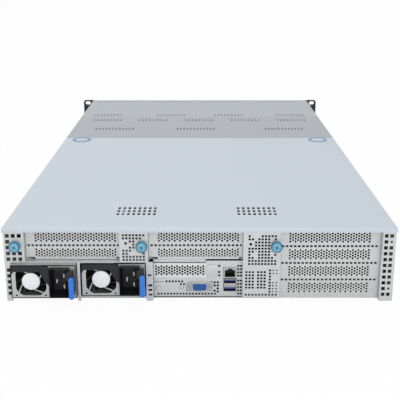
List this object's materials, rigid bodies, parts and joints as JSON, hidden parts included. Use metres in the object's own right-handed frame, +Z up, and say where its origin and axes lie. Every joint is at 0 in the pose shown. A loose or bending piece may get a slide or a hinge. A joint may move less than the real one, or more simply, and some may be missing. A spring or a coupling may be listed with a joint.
{
  "type": "rack server",
  "caption": "Rack server with hot-swap power supplies, riser cages, rear ports, a sliding top cover, a fan wall and front drive carriers.",
  "frame": {"origin": "centre of the chassis pan's underside", "axes": "+X right when the rear panel is looked at, +Y from the rear panel to the drive bays, +Z up"},
  "size_m": [0.4826, 0.854, 0.089],
  "materials": {
    "zinc_steel": "zinc-coated sheet",
    "bracket_steel": "zinc-coated stamped sheet",
    "cover_steel": "pale satin coating",
    "supply_steel": "bright zinc sheet",
    "blue_plastic": "moulded",
    "blue_anodised": "anodised and knurled",
    "latch_blue": "moulded",
    "black_plastic": "moulded",
    "rotor_plastic": "moulded",
    "circuit_board": "solder mask",
    "memory_board": "solder mask",
    "cooler_aluminium": "plain",
    "vga_blue": "moulded insert in a plated shell",
    "connector_steel": "plated",
    "button_plastic": "moulded",
    "ear_black": "black powder coat",
    "carrier_aluminium": "plain tray with a dark bezel"
  },
  "bodies": {
    "chassis": {"chassis_pan": "zinc_steel", "drive_backplane": "circuit_board", "drive_cage": "zinc_steel", "fan_housings": "black_plastic", "fan_wall": "zinc_steel", "front_cover": "cover_steel", "lan_port": "connector_steel", "low_slot_cover": "bracket_steel", "mainboard": "circuit_board", "memory_modules": "memory_board", "mid_cover": "cover_steel", "processor_coolers": "cooler_aluminium", "psu_bay": "zinc_steel", "rack_ear_left": "ear_black", "rack_ear_right": "ear_black", "rear_panel": "zinc_steel", "riser_cage_left": "zinc_steel", "riser_cage_middle": "zinc_steel", "riser_cage_right": "zinc_steel", "riser_cards": "circuit_board", "slot_clamp": "bracket_steel", "slot_covers": "bracket_steel", "usb_ports": "connector_steel", "vga_port": "vga_blue"},
    "cover": {"rear_cover": "cover_steel"},
    "cover_release_left": {"cover_button_left": "blue_plastic"},
    "cover_release_right": {"cover_button_right": "blue_plastic"},
    "thumbscrew_left": {"thumbscrew_left": "blue_anodised"},
    "thumbscrew_middle": {"thumbscrew_middle": "blue_anodised"},
    "thumbscrew_right": {"thumbscrew_right": "blue_anodised"},
    "supply_left": {"psu_left_case": "supply_steel", "psu_left_inlet": "black_plastic"},
    "supply_latch_left": {"psu_left_latch": "latch_blue"},
    "supply_fan_left": {"psu_left_rotor": "rotor_plastic"},
    "supply_right": {"psu_right_case": "supply_steel", "psu_right_inlet": "black_plastic"},
    "supply_latch_right": {"psu_right_latch": "latch_blue"},
    "supply_fan_right": {"psu_right_rotor": "rotor_plastic"},
    "fan_1": {"fan_rotor_1": "rotor_plastic"},
    "fan_2": {"fan_rotor_2": "rotor_plastic"},
    "fan_3": {"fan_rotor_3": "rotor_plastic"},
    "fan_4": {"fan_rotor_4": "rotor_plastic"},
    "drive_1": {"drive_carrier_1": "carrier_aluminium"},
    "lever_1": {"carrier_lever_1": "black_plastic"},
    "drive_2": {"drive_carrier_2": "carrier_aluminium"},
    "lever_2": {"carrier_lever_2": "black_plastic"},
    "drive_3": {"drive_carrier_3": "carrier_aluminium"},
    "lever_3": {"carrier_lever_3": "black_plastic"},
    "drive_4": {"drive_carrier_4": "carrier_aluminium"},
    "lever_4": {"carrier_lever_4": "black_plastic"},
    "drive_5": {"drive_carrier_5": "carrier_aluminium"},
    "lever_5": {"carrier_lever_5": "black_plastic"},
    "drive_6": {"drive_carrier_6": "carrier_aluminium"},
    "lever_6": {"carrier_lever_6": "black_plastic"},
    "drive_7": {"drive_carrier_7": "carrier_aluminium"},
    "lever_7": {"carrier_lever_7": "black_plastic"},
    "drive_8": {"drive_carrier_8": "carrier_aluminium"},
    "lever_8": {"carrier_lever_8": "black_plastic"},
    "identify": {"id_button": "button_plastic"},
    "power": {"power_button": "button_plastic"}
  },
  "joints": [
    {"name": "cover_slide", "type": "slide", "parent": "chassis", "child": "cover", "axis": [0, -1, 0], "range_m": [0, 0.015]},
    {"name": "cover_release_left_press", "type": "slide", "parent": "cover", "child": "cover_release_left", "axis": [0, 0, -1], "range_m": [0, 0.0024], "stiffness_N_per_m": 600},
    {"name": "cover_release_right_press", "type": "slide", "parent": "cover", "child": "cover_release_right", "axis": [0, 0, -1], "range_m": [0, 0.0024], "stiffness_N_per_m": 600},
    {"name": "thumbscrew_left_turn", "type": "hinge", "parent": "chassis", "child": "thumbscrew_left", "pos_m": [-0.2067, -0.4125, 0.067], "axis": [0, 1, 0], "continuous": true},
    {"name": "thumbscrew_middle_turn", "type": "hinge", "parent": "chassis", "child": "thumbscrew_middle", "pos_m": [-0.065, -0.4125, 0.067], "axis": [0, 1, 0], "continuous": true},
    {"name": "thumbscrew_right_turn", "type": "hinge", "parent": "chassis", "child": "thumbscrew_right", "pos_m": [0.086, -0.4125, 0.067], "axis": [0, 1, 0], "continuous": true},
    {"name": "supply_left_slide", "type": "slide", "parent": "chassis", "child": "supply_left", "axis": [0, -1, 0], "range_m": [-0.006, 0.18]},
    {"name": "supply_latch_left_press", "type": "hinge", "parent": "supply_left", "child": "supply_latch_left", "pos_m": [-0.1429, -0.4055, 0.0234], "axis": [0, 0, -1], "range_deg": [0, 8], "stiffness_Nm_per_rad": 0.4},
    {"name": "supply_fan_left_spin", "type": "hinge", "parent": "supply_left", "child": "supply_fan_left", "pos_m": [-0.191, -0.4035, 0.0259], "axis": [0, 1, 0], "continuous": true},
    {"name": "supply_right_slide", "type": "slide", "parent": "chassis", "child": "supply_right", "axis": [0, -1, 0], "range_m": [0, 0.18]},
    {"name": "supply_latch_right_press", "type": "hinge", "parent": "supply_right", "child": "supply_latch_right", "pos_m": [-0.0644, -0.3995, 0.0234], "axis": [0, 0, -1], "range_deg": [0, 8], "stiffness_Nm_per_rad": 0.4},
    {"name": "supply_fan_right_spin", "type": "hinge", "parent": "supply_right", "child": "supply_fan_right", "pos_m": [-0.1125, -0.3975, 0.0259], "axis": [0, 1, 0], "continuous": true},
    {"name": "fan_1_spin", "type": "hinge", "parent": "chassis", "child": "fan_1", "pos_m": [-0.1605, 0.1835, 0.0424], "axis": [0, 1, 0], "continuous": true},
    {"name": "fan_2_spin", "type": "hinge", "parent": "chassis", "child": "fan_2", "pos_m": [-0.0535, 0.1835, 0.0424], "axis": [0, 1, 0], "continuous": true},
    {"name": "fan_3_spin", "type": "hinge", "parent": "chassis", "child": "fan_3", "pos_m": [0.0535, 0.1835, 0.0424], "axis": [0, 1, 0], "continuous": true},
    {"name": "fan_4_spin", "type": "hinge", "parent": "chassis", "child": "fan_4", "pos_m": [0.1605, 0.1835, 0.0424], "axis": [0, 1, 0], "continuous": true},
    {"name": "drive_1_slide", "type": "slide", "parent": "chassis", "child": "drive_1", "axis": [0, 1, 0], "range_m": [0, 0.16]},
    {"name": "lever_1_swing", "type": "hinge", "parent": "drive_1", "child": "lever_1", "pos_m": [-0.2102, 0.4155, 0.0164], "axis": [0, 0, 1], "range_deg": [0, 55]},
    {"name": "drive_2_slide", "type": "slide", "parent": "chassis", "child": "drive_2", "axis": [0, 1, 0], "range_m": [0, 0.16]},
    {"name": "lever_2_swing", "type": "hinge", "parent": "drive_2", "child": "lever_2", "pos_m": [-0.1005, 0.4155, 0.0164], "axis": [0, 0, 1], "range_deg": [0, 55]},
    {"name": "drive_3_slide", "type": "slide", "parent": "chassis", "child": "drive_3", "axis": [0, 1, 0], "range_m": [0, 0.16]},
    {"name": "lever_3_swing", "type": "hinge", "parent": "drive_3", "child": "lever_3", "pos_m": [0.0092, 0.4155, 0.0164], "axis": [0, 0, 1], "range_deg": [0, 55]},
    {"name": "drive_4_slide", "type": "slide", "parent": "chassis", "child": "drive_4", "axis": [0, 1, 0], "range_m": [0, 0.16]},
    {"name": "lever_4_swing", "type": "hinge", "parent": "drive_4", "child": "lever_4", "pos_m": [0.1189, 0.4155, 0.0164], "axis": [0, 0, 1], "range_deg": [0, 55]},
    {"name": "drive_5_slide", "type": "slide", "parent": "chassis", "child": "drive_5", "axis": [0, 1, 0], "range_m": [0, 0.16]},
    {"name": "lever_5_swing", "type": "hinge", "parent": "drive_5", "child": "lever_5", "pos_m": [-0.2102, 0.4155, 0.045], "axis": [0, 0, 1], "range_deg": [0, 55]},
    {"name": "drive_6_slide", "type": "slide", "parent": "chassis", "child": "drive_6", "axis": [0, 1, 0], "range_m": [0, 0.16]},
    {"name": "lever_6_swing", "type": "hinge", "parent": "drive_6", "child": "lever_6", "pos_m": [-0.1005, 0.4155, 0.045], "axis": [0, 0, 1], "range_deg": [0, 55]},
    {"name": "drive_7_slide", "type": "slide", "parent": "chassis", "child": "drive_7", "axis": [0, 1, 0], "range_m": [0, 0.16]},
    {"name": "lever_7_swing", "type": "hinge", "parent": "drive_7", "child": "lever_7", "pos_m": [0.0092, 0.4155, 0.045], "axis": [0, 0, 1], "range_deg": [0, 55]},
    {"name": "drive_8_slide", "type": "slide", "parent": "chassis", "child": "drive_8", "axis": [0, 1, 0], "range_m": [0, 0.16]},
    {"name": "lever_8_swing", "type": "hinge", "parent": "drive_8", "child": "lever_8", "pos_m": [0.1189, 0.4155, 0.045], "axis": [0, 0, 1], "range_deg": [0, 55]},
    {"name": "identify_press", "type": "slide", "parent": "chassis", "child": "identify", "axis": [0, 1, 0], "range_m": [0, 0.001], "stiffness_N_per_m": 500},
    {"name": "power_press", "type": "slide", "parent": "chassis", "child": "power", "axis": [0, -1, 0], "range_m": [0, 0.001], "stiffness_N_per_m": 500}
  ]
}
